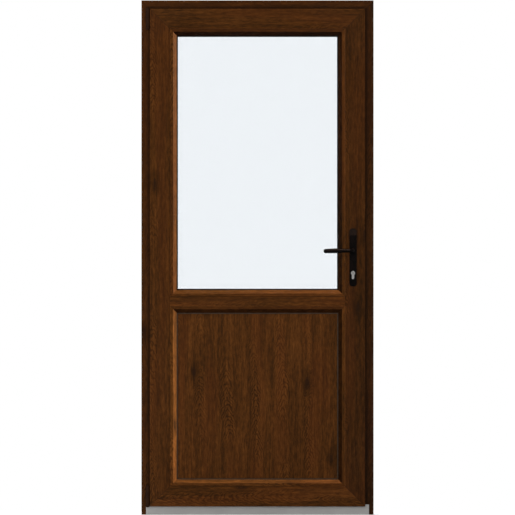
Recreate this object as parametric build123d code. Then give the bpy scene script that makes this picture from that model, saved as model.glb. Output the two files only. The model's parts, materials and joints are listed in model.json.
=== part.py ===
"""Half-glazed entrance door: a foiled plastic frame, an aluminium threshold and a leaf that opens inwards.

Millimetres. +X runs across the door to the lock side, +Y points outdoors and +Z points up.
The origin is at the middle of the threshold's underside.

Every bar is drawn once as a section in two coordinates. The first, across, runs from the bar's outer
edge towards the middle of the opening. The second, depth, is the world's Y. Bars are then run round
the opening and mitred at the corners.
"""

from build123d import *

import os
from math import cos, radians, sin

# Overall size of the door in its frame
DOOR_WIDTH = 970.0
DOOR_HEIGHT = 2150.0

# Frame section
FRAME_DEPTH = 70.0
FRAME_FACE = 43.0
FRAME_LIP = 22.0
FRAME_LIP_THICKNESS = 13.0
EDGE_RADIUS = 2.0

# Leaf section
LEAF_DEPTH = 70.0
LEAF_REVEAL = 35.0
LEAF_LIP = 20.0
LEAF_LIP_THICKNESS = 13.0
LEAF_FACE = 84.0
CLOSING_GAP = 5.0

# Rebate that holds the glass and the panel, the same in the stiles, the rails and the middle rail
GLAZING_LIP = 28.0
GLAZING_LIP_THICKNESS = 16.0
SLOPE_WIDTH = 14.5
BEAD_SLOPE_DEPTH = 16.0
LIP_SLOPE_DEPTH = 10.0
GASKET_SHOW = 5.0
GASKET_THICKNESS = 4.0
BEAD_FIT = 0.3
BEAD_ROUND = 1.0
EDGE_COVER_PLAY = 5.0

# Middle rail
MID_RAIL_FACE = 39.0
MID_RAIL_HEIGHT = 892.0

# Double glazing
GLASS_PANE = 4.0
GLASS_CAVITY = 16.0
SPACER_HEIGHT = 9.0
SPACER_INSET = 4.0

# Weather seals round the frame and the leaf
SEAL_WIDTH = 5.0
SEAL_GROOVE = 3.0
SEAL_GROOVE_WIDTH = 3.5
SEAL_INSET = 2.0
SEAL_PLAY = 0.3

# Threshold
THRESHOLD_END = 19.0
THRESHOLD_WALL = 2.5
THRESHOLD_INNER = 26.0
THRESHOLD_BREAK = 14.0
THRESHOLD_NOSE = 22.0
THRESHOLD_RIB_PITCH = 7.0
THRESHOLD_RIB_DEPTH = 0.8

# Hinges
HINGE_LENGTH = 85.0
HINGE_RADIUS = 7.5
HINGE_OFFSET = 8.4
HINGE_FRAME_PLATE = 1.6
HINGE_LEAF_PLATE = 3.0
HINGE_RUN_GAP = 0.3
HINGE_STAND_OFF = 0.6
PIN_RADIUS = 4.0
PIN_PLAY = 0.05
PIN_ENGAGEMENT = 30.0
HINGE_ARM_REACH = 34.0

# Lock and handle
HANDLE_HEIGHT = 1102.0
BACKSET = 31.0
PLATE_WIDTH = 30.0
PLATE_ABOVE = 94.0
PLATE_BELOW = 147.0
PLATE_THICKNESS = 9.0
PLATE_CORNER = 11.0
PLATE_EDGE = 1.5
PLATE_END_SLOPE = 28.0
PLATE_END_THICKNESS = 5.5
LEVER_LENGTH = 120.0
LEVER_HEIGHT = 17.0
LEVER_THICKNESS = 11.0
LEVER_STAND_OFF = 46.0
LEVER_BEND = 18.0
LEVER_FLAT = 1.0
LEVER_TURN_STEPS = 6
HUB_RADIUS = 11.0
HUB_EDGE = 1.5
HUB_COLLAR = 5.0
HUB_GAP = 0.3
SPINDLE_SIDE = 8.0
SPINDLE_HOLE = 10.0
CYLINDER_DROP = 92.0
CYLINDER_RADIUS = 8.5
CYLINDER_WEB = 10.0
CYLINDER_TALL = 33.0
CYLINDER_PROUD = 3.0
CYLINDER_PLAY = 0.5
PLUG_RADIUS = 6.5
PLUG_PLAY = 0.05
PLUG_DEPTH = 28.0
PLUG_PROUD = 0.6
KEYWAY_WIDTH = 2.4
KEYWAY_HEIGHT = 9.0
LOCK_STRIP_WIDTH = 16.0
LOCK_STRIP_INSET = 150.0
LOCK_STRIP_THICKNESS = 2.5
LATCH_WIDTH = 12.0
LATCH_HEIGHT = 34.0
LATCH_PROUD = 1.5
KEEP_WIDTH = 20.0
KEEP_LENGTH = 150.0
KEEP_THICKNESS = 2.5
KEEP_INSET = 420.0

# Drip rail on the weather side
DRIP_LENGTH_PLAY = 10.0
DRIP_HEIGHT = 38.0
DRIP_PROUD = 26.0
DRIP_WALL = 2.0
DRIP_ABOVE_LEAF_EDGE = 4.0

# Screw holes that fix the jambs to the wall
FIXING_RADIUS = 5.0
FIXING_INSET = 330.0

# Places that follow from the sizes above
FRAME_FRONT = -FRAME_DEPTH / 2
FRAME_BACK = FRAME_DEPTH / 2
FRAME_LIP_FACE = FRAME_BACK - FRAME_LIP_THICKNESS
LEAF_FRONT = FRAME_FRONT - CLOSING_GAP - LEAF_LIP_THICKNESS
LEAF_BACK = LEAF_FRONT + LEAF_DEPTH
LEAF_LIP_BACK = LEAF_FRONT + LEAF_LIP_THICKNESS
LEAF_LEFT = -DOOR_WIDTH / 2 + LEAF_REVEAL
LEAF_RIGHT = -LEAF_LEFT
LEAF_BOTTOM = LEAF_REVEAL
LEAF_TOP = DOOR_HEIGHT - LEAF_REVEAL
FILL_BACK = LEAF_BACK - GLAZING_LIP_THICKNESS - GASKET_THICKNESS
FILL_FRONT = FILL_BACK - 2 * GLASS_PANE - GLASS_CAVITY
BEAD_BACK = FILL_FRONT - GASKET_THICKNESS
BEAD_WIDTH = GLAZING_LIP
MID_RAIL_LOW = MID_RAIL_HEIGHT - MID_RAIL_FACE / 2
MID_RAIL_HIGH = MID_RAIL_HEIGHT + MID_RAIL_FACE / 2
HINGE_X = LEAF_LEFT - HINGE_OFFSET
HINGE_Y = FRAME_FRONT - HINGE_FRAME_PLATE - HINGE_RADIUS
HANDLE_X = LEAF_RIGHT - LEAF_LIP - BACKSET
CYLINDER_HEIGHT = HANDLE_HEIGHT - CYLINDER_DROP
LOCK_EDGE = LEAF_RIGHT - LEAF_LIP
GROOVE_MIDDLE = (LEAF_LIP_BACK + LEAF_BACK) / 2
FRAME_REBATE_MIDDLE = (FRAME_FRONT + FRAME_LIP_FACE) / 2

Corner = tuple[float, float]


# Helpers for sections and bars

def polygon(*points: Corner) -> Sketch:
    """A flat section through the given corners."""
    return make_face(Polyline(*points, close=True).edges())


def rounded(section: Sketch, radius: float, *places: Corner) -> Sketch:
    """The section with the corners nearest to the given places rounded."""
    corners = [section.vertices().sort_by_distance((x, y, 0))[0] for x, y in places]
    return fillet(corners, radius)


def bar(section: Sketch, start: Vector, along: Vector, inward: Vector, length: float,
        mitre_start: bool = True, mitre_end: bool = True) -> Part:
    """Runs a section along one side of an opening, and cuts its ends to 45 degrees where asked.

    The section's first coordinate follows inward and its second follows the world's Y.
    """
    run = Plane(origin=start, x_dir=inward, z_dir=along)
    solid = extrude(run * section, amount=length, dir=along)
    if mitre_start:
        solid = split(solid, Plane(origin=start, z_dir=along - inward), keep=Keep.TOP)
    if mitre_end:
        finish = start + along * length
        solid = split(solid, Plane(origin=finish, z_dir=-along - inward), keep=Keep.TOP)
    return solid


class Opening:
    """A rectangle that bars run round: left bar up, top bar across, right bar down, bottom bar back."""

    def __init__(self, left: float, right: float, bottom: float, top: float) -> None:
        self.width = right - left
        self.height = top - bottom
        up, across = Vector(0, 0, 1), Vector(1, 0, 0)
        self.runs = {
            "left": (Vector(left, 0, bottom), up, across, self.height),
            "top": (Vector(left, 0, top), across, -up, self.width),
            "right": (Vector(right, 0, top), -up, -across, self.height),
            "bottom": (Vector(right, 0, bottom), -across, up, self.width),
        }

    def bar(self, side: str, section: Sketch, **ends: bool) -> Part:
        """One bar of this opening."""
        return bar(section, *self.runs[side], **ends)

    def ring(self, section: Sketch) -> Part:
        """All four bars joined into one closed ring."""
        return Part() + [self.bar(side, section) for side in self.runs]


def box(x: Corner, y: Corner, z: Corner) -> Part:
    """A block between two values on each axis."""
    size = [high - low for low, high in (x, y, z)]
    middle = [(high + low) / 2 for low, high in (x, y, z)]
    return Pos(*middle) * Box(*size)


def rod(radius: float, x: float, z: float, y: Corner) -> Part:
    """A round bar that runs through the door from one depth to another."""
    start = Plane(origin=(x, y[0], z), x_dir=(1, 0, 0), z_dir=(0, 1, 0))
    return extrude(start * Circle(radius), amount=y[1] - y[0])


def through(outline: Sketch, x: float, z: float, y: Corner) -> Part:
    """Runs an outline, drawn with its own up as the world's Z, from one depth to another."""
    start = Plane(origin=(x, y[1], z), x_dir=(1, 0, 0), z_dir=(0, -1, 0))
    return extrude(start * outline, amount=y[1] - y[0])


# Sections

def frame_section() -> Sketch:
    """Frame bar: a flat face indoors, a rebate, and a lip outdoors that covers the leaf."""
    lip_edge = FRAME_FACE + FRAME_LIP
    outline = polygon(
        (0, FRAME_FRONT), (FRAME_FACE, FRAME_FRONT), (FRAME_FACE, FRAME_LIP_FACE),
        (lip_edge, FRAME_LIP_FACE), (lip_edge, FRAME_BACK), (0, FRAME_BACK))
    outline = rounded(outline, EDGE_RADIUS, (0, FRAME_FRONT), (FRAME_FACE, FRAME_FRONT),
                      (lip_edge, FRAME_LIP_FACE), (lip_edge, FRAME_BACK), (0, FRAME_BACK))
    groove = Pos(frame_seal_middle(), FRAME_LIP_FACE + SEAL_GROOVE / 2) * Rectangle(
        SEAL_GROOVE_WIDTH, SEAL_GROOVE)
    return outline - groove


def frame_seal_middle() -> float:
    """Where the frame's seal lies across the frame bar."""
    return FRAME_FACE + FRAME_LIP - EDGE_RADIUS - SEAL_INSET - SEAL_WIDTH / 2


def leaf_seal_middle() -> float:
    """Where the leaf's seal lies across the leaf bar, over the frame's face."""
    return SEAL_INSET + SEAL_WIDTH / 2


def leaf_section() -> Sketch:
    """Leaf bar: a lip indoors over the frame, a hardware groove in its edge, and a glazing lip outdoors."""
    lip_end = LEAF_FACE + GLAZING_LIP
    slope_start = lip_end - SLOPE_WIDTH
    lip_face = LEAF_BACK - GLAZING_LIP_THICKNESS
    outline = polygon(
        (0, LEAF_FRONT), (LEAF_FACE, LEAF_FRONT), (LEAF_FACE, lip_face), (lip_end, lip_face),
        (lip_end, LEAF_BACK - LIP_SLOPE_DEPTH), (slope_start, LEAF_BACK), (LEAF_LIP, LEAF_BACK),
        (LEAF_LIP, LEAF_LIP_BACK), (0, LEAF_LIP_BACK))
    outline = rounded(outline, EDGE_RADIUS, (0, LEAF_FRONT), (slope_start, LEAF_BACK), (LEAF_LIP, LEAF_BACK),
                      (0, LEAF_LIP_BACK))
    outline = rounded(outline, BEAD_ROUND, (LEAF_FACE, LEAF_FRONT))
    hardware = Pos(LEAF_LIP + LOCK_STRIP_THICKNESS / 2, GROOVE_MIDDLE) * Rectangle(
        LOCK_STRIP_THICKNESS, LOCK_STRIP_WIDTH)
    groove = Pos(leaf_seal_middle(), LEAF_LIP_BACK - SEAL_GROOVE / 2) * Rectangle(
        SEAL_GROOVE_WIDTH, SEAL_GROOVE)
    return outline - hardware - groove


def mid_rail_section() -> Sketch:
    """Middle rail, drawn about its own middle: a stem with a glazing lip above and below, outdoors."""
    half = MID_RAIL_FACE / 2
    lip_end = half + GLAZING_LIP
    slope_start = lip_end - SLOPE_WIDTH
    lip_face = LEAF_BACK - GLAZING_LIP_THICKNESS
    upper = [(half, LEAF_FRONT), (half, lip_face), (lip_end, lip_face),
             (lip_end, LEAF_BACK - LIP_SLOPE_DEPTH), (slope_start, LEAF_BACK)]
    lower = [(-across, depth) for across, depth in reversed(upper)]
    outline = polygon(*upper, *lower)
    outline = rounded(outline, BEAD_ROUND, (half, LEAF_FRONT), (-half, LEAF_FRONT))
    return rounded(outline, EDGE_RADIUS, (slope_start, LEAF_BACK), (-slope_start, LEAF_BACK))


def bead_section() -> Sketch:
    """Glazing bead: flat beside the leaf bar, then a slope down towards the glass."""
    slope_start = BEAD_WIDTH - SLOPE_WIDTH
    outline = polygon(
        (BEAD_FIT, LEAF_FRONT), (slope_start, LEAF_FRONT), (BEAD_WIDTH, LEAF_FRONT + BEAD_SLOPE_DEPTH),
        (BEAD_WIDTH, BEAD_BACK), (BEAD_FIT, BEAD_BACK))
    outline = rounded(outline, EDGE_RADIUS, (slope_start, LEAF_FRONT))
    return rounded(outline, BEAD_ROUND, (BEAD_FIT, LEAF_FRONT))


def gasket_section(front: float, back: float) -> Sketch:
    """Glazing gasket between two depths, standing a little past the bead's edge."""
    start = BEAD_WIDTH - SLOPE_WIDTH / 2
    finish = BEAD_WIDTH + GASKET_SHOW
    return Pos((start + finish) / 2, (front + back) / 2) * Rectangle(finish - start, back - front)


def seal_section(middle: float, root: float, tip: float) -> Sketch:
    """Weather seal: a foot in its groove and a soft bulb that tapers towards what it closes on."""
    foot, half = SEAL_GROOVE_WIDTH / 2, SEAL_WIDTH / 2
    face = root + (SEAL_GROOVE if tip > root else -SEAL_GROOVE)
    return polygon((middle - foot, root), (middle + foot, root), (middle + foot, face),
                   (middle + half, face), (middle + foot / 2, tip), (middle - foot / 2, tip),
                   (middle - half, face), (middle - foot, face))


# Frame and threshold

def threshold_outline() -> Sketch:
    """Outside of the threshold across its depth: level indoors, then falling to a low nose outdoors."""
    fall_start = FRAME_FRONT + THRESHOLD_INNER + THRESHOLD_BREAK
    return polygon((FRAME_FRONT, 0), (FRAME_BACK, 0), (FRAME_BACK, THRESHOLD_NOSE), (fall_start, FRAME_FACE),
                   (FRAME_FRONT, FRAME_FACE))


def along_threshold(section: Sketch) -> Part:
    """Runs a section, drawn as depth and height, from one end of the threshold to the other."""
    half = DOOR_WIDTH / 2 - THRESHOLD_END
    start = Plane(origin=(-half, 0, 0), x_dir=(0, 1, 0), z_dir=(1, 0, 0))
    return extrude(start * section, amount=2 * half)


def make_threshold() -> dict[str, Part]:
    """Two hollow aluminium halves joined by a plastic thermal break, with grip ribs on the outdoor fall."""
    break_front = FRAME_FRONT + THRESHOLD_INNER
    break_back = break_front + THRESHOLD_BREAK
    wall = THRESHOLD_WALL

    def slab(front: float, back: float) -> Sketch:
        return Pos((front + back) / 2, FRAME_FACE / 2) * Rectangle(back - front, FRAME_FACE)

    inner = slab(FRAME_FRONT, break_front)
    chamber = Pos(FRAME_FRONT + THRESHOLD_INNER / 2, FRAME_FACE / 2) * Rectangle(
        THRESHOLD_INNER - 2 * wall, FRAME_FACE - 2 * wall)
    inner = rounded(inner, THRESHOLD_WALL / 2, (FRAME_FRONT, FRAME_FACE)) - chamber
    outer = threshold_outline() & slab(break_back, FRAME_BACK)
    fall = (FRAME_FACE - THRESHOLD_NOSE) / (FRAME_BACK - break_back)
    hollow = polygon(
        (break_back + wall, wall), (FRAME_BACK - wall, wall),
        (FRAME_BACK - wall, THRESHOLD_NOSE - wall + fall * wall),
        (break_back + wall, FRAME_FACE - wall - fall * wall))
    outer = outer - hollow
    ribs = int((FRAME_BACK - break_back) / THRESHOLD_RIB_PITCH) - 1
    for rib in range(1, ribs + 1):
        depth = break_back + rib * THRESHOLD_RIB_PITCH
        height = FRAME_FACE - fall * (depth - break_back)
        outer -= Pos(depth, height) * Circle(THRESHOLD_RIB_DEPTH)
    return {
        "threshold_inner": along_threshold(inner),
        "threshold_thermal_break": along_threshold(slab(break_front, break_back)),
        "threshold_outer": along_threshold(outer),
    }


def threshold_seat() -> Part:
    """The room that the jambs leave for the threshold's ends."""
    return along_threshold(threshold_outline())


def make_frame() -> dict[str, Part]:
    """Two jambs and a head, mitred at the top, with wall fixing holes and a notch for the threshold."""
    opening = Opening(-DOOR_WIDTH / 2, DOOR_WIDTH / 2, 0, DOOR_HEIGHT)
    section = frame_section()
    jambs = {
        "hinge_jamb": opening.bar("left", section, mitre_start=False),
        "lock_jamb": opening.bar("right", section, mitre_end=False),
    }
    seat = threshold_seat()
    fixings = [
        Pos(0, FRAME_REBATE_MIDDLE, height) * Rot(0, 90, 0) * Cylinder(FIXING_RADIUS, 2 * DOOR_WIDTH)
        for height in (FIXING_INSET, DOOR_HEIGHT - FIXING_INSET)
    ]
    frame = {name: jamb - seat - fixings for name, jamb in jambs.items()}
    frame["frame_head"] = opening.bar("top", section)
    return frame


def make_frame_seal() -> Part:
    """Outdoor seal in the lip of the jambs and the head, down to the threshold."""
    opening = Opening(-DOOR_WIDTH / 2, DOOR_WIDTH / 2, 0, DOOR_HEIGHT)
    section = seal_section(frame_seal_middle(), FRAME_LIP_FACE + SEAL_GROOVE, LEAF_BACK + SEAL_PLAY)
    sides = [opening.bar("left", section, mitre_start=False), opening.bar("top", section),
             opening.bar("right", section, mitre_end=False)]
    return Part() + sides - threshold_seat()


def keep_heights() -> dict[str, float]:
    """Middle heights of the three keeps on the lock jamb."""
    return {
        "keep_upper": LEAF_TOP - KEEP_INSET,
        "keep_middle": (HANDLE_HEIGHT + CYLINDER_HEIGHT) / 2,
        "keep_lower": LEAF_BOTTOM + KEEP_INSET,
    }


def make_keeps() -> dict[str, Part]:
    """Steel keeps on the lock jamb's rebate, each with a slot that takes a bolt."""
    wall = DOOR_WIDTH / 2 - FRAME_FACE
    face = (wall - KEEP_THICKNESS, wall)
    slot_half = (KEEP_WIDTH - LATCH_WIDTH) / 4 + LATCH_WIDTH / 2
    depth = (GROOVE_MIDDLE - KEEP_WIDTH / 2, GROOVE_MIDDLE + KEEP_WIDTH / 2)
    keeps = {}
    for name, height in keep_heights().items():
        plate = box(face, depth, (height - KEEP_LENGTH / 2, height + KEEP_LENGTH / 2))
        slot = box(face, (GROOVE_MIDDLE - slot_half, GROOVE_MIDDLE + slot_half),
                   (height - LATCH_HEIGHT, height + LATCH_HEIGHT))
        keeps[name] = chamfer((plate - slot).edges().filter_by(Axis.X), KEEP_THICKNESS / 2)
    return keeps


# Leaf

def leaf_opening() -> Opening:
    """The rectangle that the leaf bars run round."""
    return Opening(LEAF_LEFT, LEAF_RIGHT, LEAF_BOTTOM, LEAF_TOP)


def glass_opening() -> Opening:
    """The rectangle that the glass beads run round."""
    return Opening(LEAF_LEFT + LEAF_FACE, LEAF_RIGHT - LEAF_FACE, MID_RAIL_HIGH, LEAF_TOP - LEAF_FACE)


def panel_opening() -> Opening:
    """The rectangle that the panel beads run round."""
    return Opening(LEAF_LEFT + LEAF_FACE, LEAF_RIGHT - LEAF_FACE, LEAF_BOTTOM + LEAF_FACE, MID_RAIL_LOW)


def cylinder_outline(play: float = 0.0) -> Sketch:
    """Lock cylinder seen from the front: a round head with a narrower web below it."""
    web_half = CYLINDER_WEB / 2 + play
    drop = CYLINDER_TALL - CYLINDER_RADIUS + play
    web = Pos(0, -(drop - web_half) / 2) * Rectangle(2 * web_half, drop - web_half)
    return Circle(CYLINDER_RADIUS + play) + web + Pos(0, web_half - drop) * Circle(web_half)


def lock_holes(y: Corner) -> Part:
    """Holes through the lock stile for the spindle and the cylinder."""
    spindle = rod(SPINDLE_HOLE, HANDLE_X, HANDLE_HEIGHT, y)
    return spindle + through(cylinder_outline(CYLINDER_PLAY), HANDLE_X, CYLINDER_HEIGHT, y)


def make_leaf_frame() -> dict[str, Part]:
    """Four mitred leaf bars and the middle rail, whose ends are shaped to the stiles."""
    opening = leaf_opening()
    section = leaf_section()
    leaf = {
        "leaf_hinge_stile": opening.bar("left", section),
        "leaf_top_rail": opening.bar("top", section),
        "leaf_lock_stile": opening.bar("right", section) - lock_holes((LEAF_FRONT, LEAF_BACK)),
        "leaf_bottom_rail": opening.bar("bottom", section),
    }
    reach = LEAF_RIGHT - LEAF_FACE
    middle = Plane(origin=(-reach, 0, MID_RAIL_HEIGHT), x_dir=(0, 0, -1), z_dir=(1, 0, 0))
    rail = extrude(middle * mid_rail_section(), amount=2 * reach)
    leaf["leaf_mid_rail"] = rail - opening.bar("left", section) - opening.bar("right", section)
    return leaf


def make_beads() -> dict[str, Part]:
    """Eight mitred beads, four round the glass and four round the panel."""
    section = bead_section()
    openings = {"glass": glass_opening(), "panel": panel_opening()}
    return {
        f"{name}_bead_{side}": opening.bar(side, section)
        for name, opening in openings.items()
        for side in opening.runs
    }


def make_gaskets() -> dict[str, Part]:
    """Glazing gaskets indoors and outdoors, round the glass and round the panel."""
    inner = gasket_section(BEAD_BACK, FILL_FRONT)
    outer = gasket_section(FILL_BACK, LEAF_BACK - GLAZING_LIP_THICKNESS)
    return {
        "glass_gasket_inside": glass_opening().ring(inner),
        "glass_gasket_outside": glass_opening().ring(outer),
        "panel_gasket_inside": panel_opening().ring(inner),
        "panel_gasket_outside": panel_opening().ring(outer),
    }


def fill_block(opening: Opening, y: Corner, inset: float) -> Part:
    """A sheet that fills an opening up to an inset from its edges."""
    start = opening.runs["left"][0]
    return box((start.X + inset, start.X + opening.width - inset), y,
               (start.Z + inset, start.Z + opening.height - inset))


def make_fillings() -> dict[str, Part]:
    """Two panes with a spacer between them above, and one solid panel below."""
    glass = glass_opening()
    inner_back = FILL_FRONT + GLASS_PANE
    outer_front = FILL_BACK - GLASS_PANE
    cavity = (inner_back, outer_front)
    spacer_edge = EDGE_COVER_PLAY + SPACER_INSET
    spacer = fill_block(glass, cavity, spacer_edge) - fill_block(glass, cavity, spacer_edge + SPACER_HEIGHT)
    return {
        "glass_pane_inside": fill_block(glass, (FILL_FRONT, inner_back), EDGE_COVER_PLAY),
        "glass_spacer": spacer,
        "glass_pane_outside": fill_block(glass, (outer_front, FILL_BACK), EDGE_COVER_PLAY),
        "lower_panel": fill_block(panel_opening(), (FILL_FRONT, FILL_BACK), EDGE_COVER_PLAY),
    }


def make_drip_rail() -> Part:
    """Bent rail on the weather side that throws rain clear of the threshold."""
    half = DOOR_WIDTH / 2 - FRAME_FACE - FRAME_LIP - DRIP_LENGTH_PLAY
    low = LEAF_BOTTOM + LEAF_LIP + DRIP_ABOVE_LEAF_EDGE
    high = low + DRIP_HEIGHT
    out = LEAF_BACK + DRIP_PROUD
    wall = DRIP_WALL
    lip = 3 * wall
    outline = polygon(
        (LEAF_BACK, low + lip), (LEAF_BACK + wall, low + lip), (LEAF_BACK + wall, high - wall),
        (out - wall, low + lip), (out - wall, low), (out, low), (out, low + lip + wall),
        (LEAF_BACK + wall, high + wall), (LEAF_BACK, high + wall))
    start = Plane(origin=(-half, 0, 0), x_dir=(0, 1, 0), z_dir=(1, 0, 0))
    return extrude(start * outline, amount=2 * half)


# Hinges

def hinge_bottoms() -> dict[str, float]:
    """Lowest point of each hinge, flush with the leaf's corners."""
    return {"top": LEAF_TOP - HINGE_LENGTH, "bottom": LEAF_BOTTOM}


def barrel(radius: float, low: float, high: float) -> Part:
    """An upright cylinder on the hinge axis."""
    return Pos(HINGE_X, HINGE_Y, (low + high) / 2) * Cylinder(radius, high - low)


def hinge_leaf_arm(low: float, high: float, play: float = 0.0) -> Part:
    """The leaf's half of a hinge behind the barrel: a flat arm under the leaf's lip, bent along its edge."""
    lip_back = LEAF_LIP_BACK
    edge = LEAF_LEFT + LEAF_LIP
    z = (low - play, high + play)
    edge_z = (low - play, min(high, LEAF_TOP - LEAF_LIP) + play)
    under_lip = box((HINGE_X, edge), (lip_back, lip_back + HINGE_LEAF_PLATE + play), z)
    along_edge = box((edge - HINGE_LEAF_PLATE, edge), (lip_back, lip_back + HINGE_ARM_REACH), edge_z)
    return under_lip + along_edge


def make_hinges() -> dict[str, Part]:
    """Two lift-off hinges: the lower barrel and its pin stay on the frame, the upper one is on the leaf."""
    hinges = {}
    for place, low in hinge_bottoms().items():
        high = low + HINGE_LENGTH
        split_low = low + HINGE_LENGTH / 2
        split_high = split_low + HINGE_RUN_GAP
        foot_width = (HINGE_X - HINGE_RADIUS, HINGE_X + HINGE_RADIUS)
        foot = box(foot_width, (HINGE_Y, FRAME_FRONT), (low, split_low))
        lower = barrel(HINGE_RADIUS, low, split_low) + foot
        lower += barrel(PIN_RADIUS, split_low, split_low + PIN_ENGAGEMENT)
        hinges[f"hinge_{place}_frame_half"] = lower
        upper = barrel(HINGE_RADIUS, split_high, high) + hinge_leaf_arm(split_high, high)
        bore = barrel(PIN_RADIUS + PIN_PLAY, split_high, split_low + PIN_ENGAGEMENT + HINGE_STAND_OFF)
        hinges[f"hinge_{place}_leaf_half"] = upper - bore
    return hinges


def make_leaf_seal() -> Part:
    """Indoor seal round the leaf's lip, cut where the hinge arms pass."""
    section = seal_section(leaf_seal_middle(), LEAF_LIP_BACK - SEAL_GROOVE, FRAME_FRONT - SEAL_PLAY)
    seal = leaf_opening().ring(section)
    for low in hinge_bottoms().values():
        split_high = low + HINGE_LENGTH / 2 + HINGE_RUN_GAP
        seal -= hinge_leaf_arm(split_high, low + HINGE_LENGTH, play=CLOSING_GAP)
    return seal


# Lock and handle

def make_lock() -> dict[str, Part]:
    """Faceplate strip in the leaf's edge, with the latch and the dead bolt drawn back behind its slots."""
    strip_face = (LOCK_EDGE - LOCK_STRIP_THICKNESS, LOCK_EDGE)
    depth = (GROOVE_MIDDLE - LOCK_STRIP_WIDTH / 2, GROOVE_MIDDLE + LOCK_STRIP_WIDTH / 2)
    bolt_depth = (GROOVE_MIDDLE - LATCH_WIDTH / 2, GROOVE_MIDDLE + LATCH_WIDTH / 2)
    bolt_face = (LOCK_EDGE - LOCK_STRIP_THICKNESS, LOCK_EDGE + LATCH_PROUD)
    strip = box(strip_face, depth, (LEAF_BOTTOM + LOCK_STRIP_INSET, LEAF_TOP - LOCK_STRIP_INSET))
    bolts = {"latch_bolt": HANDLE_HEIGHT, "dead_bolt": CYLINDER_HEIGHT}
    lock = {}
    for name, height in bolts.items():
        bolt = box(bolt_face, bolt_depth, (height - LATCH_HEIGHT / 2, height + LATCH_HEIGHT / 2))
        strip -= bolt
        outer_edges = bolt.faces().sort_by(Axis.X)[-1].edges().filter_by(Axis.Z)
        lock[name] = chamfer(outer_edges, LATCH_PROUD / 2)
    lock["lock_faceplate"] = strip
    return lock


def plate_outline() -> Sketch:
    """Handle plate seen from the front, drawn about the handle's axis."""
    tall = PLATE_ABOVE + PLATE_BELOW
    return Pos(0, (PLATE_ABOVE - PLATE_BELOW) / 2) * RectangleRounded(PLATE_WIDTH, tall, PLATE_CORNER)


def make_handle_side(face: float, outward: int) -> dict[str, Part]:
    """Plate and lever for one side of the leaf. Outward is -1 indoors and 1 outdoors."""
    front = face + outward * PLATE_THICKNESS
    depth = (min(face, front), max(face, front))
    thin = face + outward * PLATE_END_THICKNESS
    top, bottom = HANDLE_HEIGHT + PLATE_ABOVE, HANDLE_HEIGHT - PLATE_BELOW
    side = polygon((face, bottom), (thin, bottom), (front, bottom + PLATE_END_SLOPE),
                   (front, top - PLATE_END_SLOPE), (thin, top), (face, top))
    beside = Plane(origin=(HANDLE_X - PLATE_WIDTH / 2, 0, 0), x_dir=(0, 1, 0), z_dir=(1, 0, 0))
    plate = through(plate_outline(), HANDLE_X, HANDLE_HEIGHT, depth)
    plate &= extrude(beside * side, amount=PLATE_WIDTH)
    flat = plate.faces().sort_by(Axis.Y)[0 if outward < 0 else -1]
    plate = chamfer(flat.edges().filter_by(Axis.Z), PLATE_EDGE)
    plate -= rod(SPINDLE_HOLE, HANDLE_X, HANDLE_HEIGHT, depth)
    plate -= through(cylinder_outline(CYLINDER_PLAY), HANDLE_X, CYLINDER_HEIGHT, depth)
    return {"plate": plate, "lever": make_lever(front, outward)}


def lever_line(front: float, outward: int) -> list[Vector]:
    """Corners of the lever's middle line: out of the hub, round a quarter circle, then level to the tip."""
    reach = front + outward * LEVER_STAND_OFF
    turn_middle = Vector(HANDLE_X - LEVER_BEND, reach - outward * LEVER_BEND, HANDLE_HEIGHT)
    corners = [Vector(HANDLE_X, front + outward * HUB_GAP, HANDLE_HEIGHT)]
    for step in range(LEVER_TURN_STEPS):
        angle = radians(90 * (step + 0.5) / LEVER_TURN_STEPS)
        corners.append(turn_middle + Vector(cos(angle), outward * sin(angle), 0) * LEVER_BEND)
    return corners + [Vector(HANDLE_X - LEVER_LENGTH, reach, HANDLE_HEIGHT)]


def mitred_runs(section: Sketch, line: list[Vector], overrun: float) -> Part:
    """A section run along a line in straight stretches that meet in mitres, with its ends cut square."""
    ways = [(finish - start).normalized() for start, finish in zip(line, line[1:])]
    stretches = []
    for number, along in enumerate(ways):
        start, finish = line[number], line[number + 1]
        before = ways[max(number - 1, 0)]
        after = ways[min(number + 1, len(ways) - 1)]
        face = Plane(origin=start - along * overrun, x_dir=(-along.Y, along.X, 0), z_dir=along)
        stretch = extrude(face * section, amount=(finish - start).length + 2 * overrun)
        stretch = split(stretch, Plane(origin=start, z_dir=along + before), keep=Keep.TOP)
        stretches.append(split(stretch, Plane(origin=finish, z_dir=along + after), keep=Keep.BOTTOM))
    return Part() + stretches


def make_lever(front: float, outward: int) -> Part:
    """Lever: a well-rounded section run along its line, cut to a round tip, with a collar on the plate."""
    line = lever_line(front, outward)
    root, tip = line[0], line[-1]
    section = RectangleRounded(LEVER_THICKNESS, LEVER_HEIGHT, (LEVER_THICKNESS - LEVER_FLAT) / 2)
    lever = mitred_runs(section, line, LEVER_THICKNESS)

    tip_middle = LEVER_HEIGHT / 2 - LEVER_LENGTH
    straight = LEVER_THICKNESS - tip_middle
    outline = Pos(tip_middle + straight / 2, 0) * Rectangle(straight, LEVER_HEIGHT)
    outline += Pos(tip_middle, 0) * Circle(LEVER_HEIGHT / 2)
    deep = tip.Y + outward * LEVER_THICKNESS
    lever &= through(outline, HANDLE_X, HANDLE_HEIGHT, (min(root.Y, deep), max(root.Y, deep)))

    collar_end = root.Y + outward * HUB_COLLAR
    collar = rod(HUB_RADIUS, HANDLE_X, HANDLE_HEIGHT, (min(root.Y, collar_end), max(root.Y, collar_end)))
    shoulder = collar.edges().filter_by(GeomType.CIRCLE).sort_by(Axis.Y)[0 if outward < 0 else -1]
    return chamfer(shoulder, HUB_EDGE) + lever


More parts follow.
